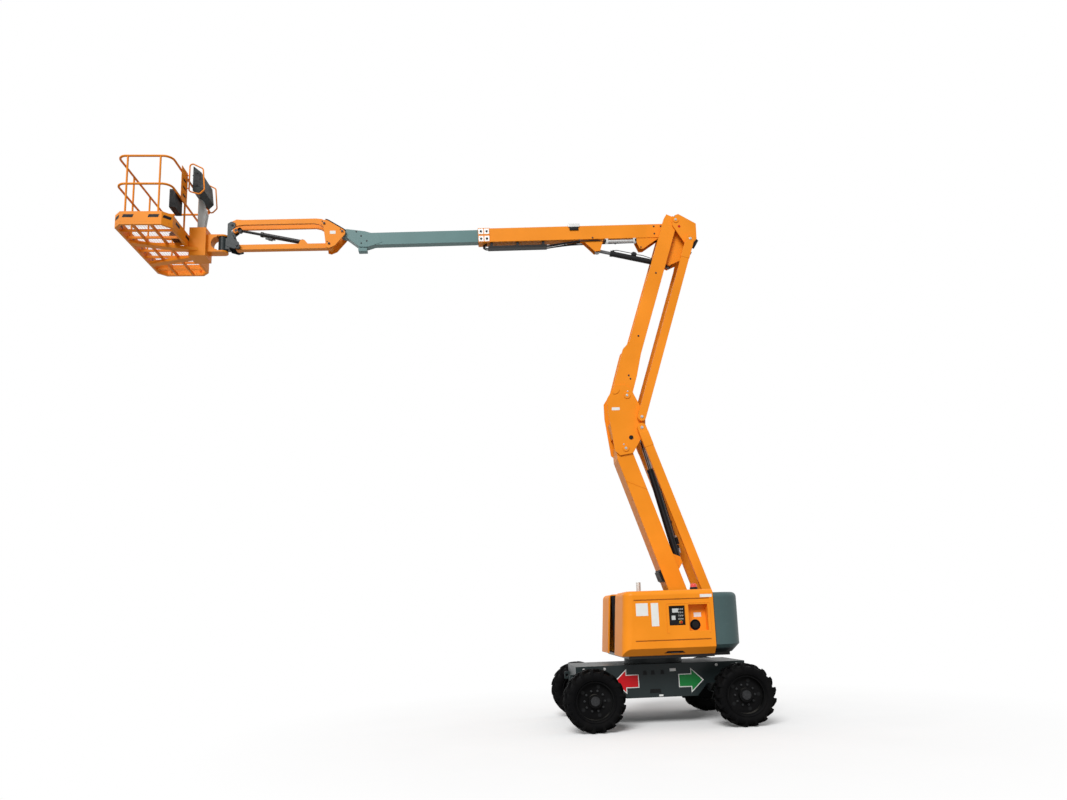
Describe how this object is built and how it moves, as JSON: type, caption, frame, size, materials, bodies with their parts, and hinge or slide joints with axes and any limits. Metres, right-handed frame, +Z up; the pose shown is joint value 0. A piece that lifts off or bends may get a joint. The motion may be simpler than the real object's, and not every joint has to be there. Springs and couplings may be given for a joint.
{
  "type": "articulating boom lift",
  "caption": "Four-wheel articulating boom lift with folding arms raised, telescopic boom level, jib and caged work platform.",
  "frame": {"origin": "on the ground under the slewing axis, midway between the axles", "axes": "+X the way the boom points, +Y the machine's left, +Z up"},
  "size_m": [9.4106, 2.3, 8.9334],
  "materials": {
    "orange_paint": "gloss",
    "grey_paint": "satin",
    "dark_paint": "satin",
    "cast_weight": "satin",
    "engine_metal": "matte",
    "hood_shell": "gloss",
    "black_plastic": "satin",
    "red_lens": "gloss",
    "bare_steel": "satin",
    "black_paint": "satin",
    "chromed_rod": "polished",
    "platform_metal": "satin",
    "tyre_rubber": "matte"
  },
  "bodies": {
    "chassis": {"chassis_frame": "dark_paint", "slew_ring": "dark_paint", "front_axle": "dark_paint", "rear_axle": "dark_paint"},
    "knuckle_left": {"knuckle_left": "dark_paint"},
    "knuckle_right": {"knuckle_right": "dark_paint"},
    "turret": {"turret_frame": "dark_paint", "turret_uprights": "orange_paint", "counterweight": "cast_weight", "engine_block": "engine_metal", "fuel_tank": "black_plastic", "ground_controls": "black_plastic"},
    "hood_left": {"hood_left": "hood_shell", "beacon": "red_lens"},
    "hood_right": {"hood_right": "hood_shell", "exhaust": "bare_steel"},
    "lower_arm": {"lower_arm": "orange_paint"},
    "lower_links": {"lower_links": "orange_paint"},
    "knee": {"knee_plates": "orange_paint", "knee_tie": "orange_paint"},
    "upper_arms": {"upper_arms": "orange_paint"},
    "upper_links": {"upper_links": "orange_paint"},
    "head": {"head_plates": "orange_paint", "head_core": "orange_paint"},
    "boom": {"boom_outer": "orange_paint", "hose_tray": "black_paint", "levelling_cylinder": "black_paint", "boom_lamp": "bare_steel"},
    "boom_inner": {"boom_inner": "grey_paint"},
    "jib_bracket": {"jib_bracket": "orange_paint"},
    "jib_upper": {"jib_arm_upper": "orange_paint"},
    "jib_lower": {"jib_arm_lower": "orange_paint"},
    "jib_head": {"jib_head": "orange_paint"},
    "platform": {"platform_bracket": "orange_paint", "platform_floor": "platform_metal", "toe_boards": "platform_metal", "platform_top_rail": "platform_metal", "platform_mid_rail": "platform_metal", "platform_posts": "platform_metal", "control_console": "black_plastic", "console_stand": "grey_paint", "console_guards": "orange_paint", "document_box": "black_plastic", "foot_switch": "grey_paint"},
    "arm_barrel": {"arm_cylinder_barrel": "black_paint"},
    "arm_rod": {"arm_cylinder_rod": "chromed_rod"},
    "lift_barrel": {"lift_cylinder_barrel": "black_paint"},
    "lift_rod": {"lift_cylinder_rod": "chromed_rod"},
    "jib_barrel": {"jib_cylinder_barrel": "black_paint"},
    "jib_rod": {"jib_cylinder_rod": "chromed_rod"},
    "wheel_front_left": {"tyre_front_left": "tyre_rubber", "rim_front_left": "black_paint"},
    "wheel_front_right": {"tyre_front_right": "tyre_rubber", "rim_front_right": "black_paint"},
    "wheel_rear_left": {"tyre_rear_left": "tyre_rubber", "rim_rear_left": "black_paint"},
    "wheel_rear_right": {"tyre_rear_right": "tyre_rubber", "rim_rear_right": "black_paint"}
  },
  "joints": [
    {"name": "slew", "type": "hinge", "parent": "chassis", "child": "turret", "pos_m": [0, 0, 0.96], "axis": [0, 0, 1], "range_deg": [-177.5, 177.5]},
    {"name": "arms_raise", "type": "hinge", "parent": "turret", "child": "lower_arm", "pos_m": [-0.69, 0, 1.25], "axis": [0, -1, 0], "range_deg": [-69.7, 0]},
    {"name": "lower_link_turn", "type": "hinge", "parent": "turret", "child": "lower_links", "pos_m": [-0.951, 0, 1.564], "axis": [0, -1, 0], "range_deg": [-69.7, 0]},
    {"name": "knee_level", "type": "hinge", "parent": "lower_arm", "child": "knee", "pos_m": [0.26478, 0, 4.14039], "axis": [0, 1, 0], "range_deg": [-69.7, 0]},
    {"name": "upper_arm_turn", "type": "hinge", "parent": "knee", "child": "upper_arms", "pos_m": [0.20078, 0, 4.99238], "axis": [0, 1, 0], "range_deg": [-69.7, 0]},
    {"name": "upper_link_turn", "type": "hinge", "parent": "knee", "child": "upper_links", "pos_m": [-0.00622, 0, 4.62638], "axis": [0, 1, 0], "range_deg": [-69.7, 0]},
    {"name": "head_level", "type": "hinge", "parent": "upper_arms", "child": "head", "pos_m": [-0.77838, 0, 7.98107], "axis": [0, -1, 0], "range_deg": [-69.7, 0]},
    {"name": "boom_raise", "type": "hinge", "parent": "head", "child": "boom", "pos_m": [-0.90038, 0, 7.86307], "axis": [0, 1, 0], "range_deg": [-68, 10]},
    {"name": "telescope", "type": "slide", "parent": "boom", "child": "boom_inner", "axis": [0.9997, 0, -0.0227], "range_m": [-1.5, 0]},
    {"name": "bracket_level", "type": "hinge", "parent": "boom_inner", "child": "jib_bracket", "pos_m": [4.67575, 0, 7.84956], "axis": [0, -1, 0], "range_deg": [-68, 10]},
    {"name": "jib_raise", "type": "hinge", "parent": "jib_bracket", "child": "jib_upper", "pos_m": [4.96575, 0, 7.98956], "axis": [0, -1, 0], "range_deg": [-70, 70]},
    {"name": "jib_lower_turn", "type": "hinge", "parent": "jib_bracket", "child": "jib_lower", "pos_m": [4.88575, 0, 7.63956], "axis": [0, -1, 0], "range_deg": [-70, 70]},
    {"name": "jib_head_level", "type": "hinge", "parent": "jib_upper", "child": "jib_head", "pos_m": [6.42062, 0, 7.97001], "axis": [0, 1, 0], "range_deg": [-70, 70]},
    {"name": "platform_turn", "type": "hinge", "parent": "jib_head", "child": "platform", "pos_m": [6.59062, 0, 7.68001], "axis": [0, 0, 1], "range_deg": [-90, 90]},
    {"name": "steer_left", "type": "hinge", "parent": "chassis", "child": "knuckle_left", "pos_m": [1.05, 0.742, 0.4275], "axis": [0, 0, 1], "range_deg": [-30, 30]},
    {"name": "wheel_front_left_spin", "type": "hinge", "parent": "knuckle_left", "child": "wheel_front_left", "pos_m": [1.05, 0.9925, 0.4275], "axis": [0, 1, 0], "continuous": true},
    {"name": "wheel_rear_left_spin", "type": "hinge", "parent": "chassis", "child": "wheel_rear_left", "pos_m": [-1.05, 0.9925, 0.4275], "axis": [0, 1, 0], "continuous": true},
    {"name": "hood_left_open", "type": "hinge", "parent": "turret", "child": "hood_left", "pos_m": [0, 0.322, 1.9], "axis": [1, 0, 0], "range_deg": [0, 60]},
    {"name": "steer_right", "type": "hinge", "parent": "chassis", "child": "knuckle_right", "pos_m": [1.05, -0.742, 0.4275], "axis": [0, 0, 1], "range_deg": [-30, 30]},
    {"name": "wheel_front_right_spin", "type": "hinge", "parent": "knuckle_right", "child": "wheel_front_right", "pos_m": [1.05, -0.9925, 0.4275], "axis": [0, 1, 0], "continuous": true},
    {"name": "wheel_rear_right_spin", "type": "hinge", "parent": "chassis", "child": "wheel_rear_right", "pos_m": [-1.05, -0.9925, 0.4275], "axis": [0, 1, 0], "continuous": true},
    {"name": "hood_right_open", "type": "hinge", "parent": "turret", "child": "hood_right", "pos_m": [0, -0.322, 1.9], "axis": [-1, 0, 0], "range_deg": [0, 60]},
    {"name": "arm_barrel_swing", "type": "hinge", "parent": "lower_arm", "child": "arm_barrel", "pos_m": [-0.49193, 0, 2.37884], "axis": [0, -1, 0], "range_deg": [-4, 4]},
    {"name": "arm_rod_slide", "type": "slide", "parent": "arm_barrel", "child": "arm_rod", "axis": [0.2323, 0, 0.9726], "range_m": [-0.47, 0]},
    {"name": "lift_barrel_swing", "type": "hinge", "parent": "head", "child": "lift_barrel", "pos_m": [-0.66038, 0, 7.27207], "axis": [0, 1, 0], "range_deg": [-64, 12]},
    {"name": "lift_rod_slide", "type": "slide", "parent": "lift_barrel", "child": "lift_rod", "axis": [0.9752, 0, 0.2212], "range_m": [-0.108, 0.71]},
    {"name": "jib_barrel_swing", "type": "hinge", "parent": "jib_lower", "child": "jib_barrel", "pos_m": [5.32686, 0, 7.71964], "axis": [0, -1, 0], "range_deg": [-4, 4]},
    {"name": "jib_rod_slide", "type": "slide", "parent": "jib_barrel", "child": "jib_rod", "axis": [0.9787, 0, 0.2051], "range_m": [-0.3, 0.3]}
  ],
  "couplings": [
    {"joint": "lower_link_turn", "follows": "arms_raise", "ratio": 1},
    {"joint": "knee_level", "follows": "arms_raise", "ratio": 1},
    {"joint": "upper_arm_turn", "follows": "arms_raise", "ratio": 1},
    {"joint": "upper_link_turn", "follows": "arms_raise", "ratio": 1},
    {"joint": "head_level", "follows": "arms_raise", "ratio": 1},
    {"joint": "arm_barrel_swing", "follows": "arms_raise", "ratio": -0.0215},
    {"joint": "arm_rod_slide", "follows": "arms_raise", "m_per_rad": 0.382},
    {"joint": "bracket_level", "follows": "boom_raise", "ratio": 1},
    {"joint": "lift_barrel_swing", "follows": "boom_raise", "ratio": 0.89},
    {"joint": "lift_rod_slide", "follows": "boom_raise", "m_per_rad": -0.594},
    {"joint": "jib_lower_turn", "follows": "jib_raise", "ratio": 1},
    {"joint": "jib_head_level", "follows": "jib_raise", "ratio": 1},
    {"joint": "jib_barrel_swing", "follows": "jib_raise", "ratio": -0.05},
    {"joint": "jib_rod_slide", "follows": "jib_raise", "m_per_rad": 0.238},
    {"joint": "steer_right", "follows": "steer_left", "ratio": 1}
  ]
}
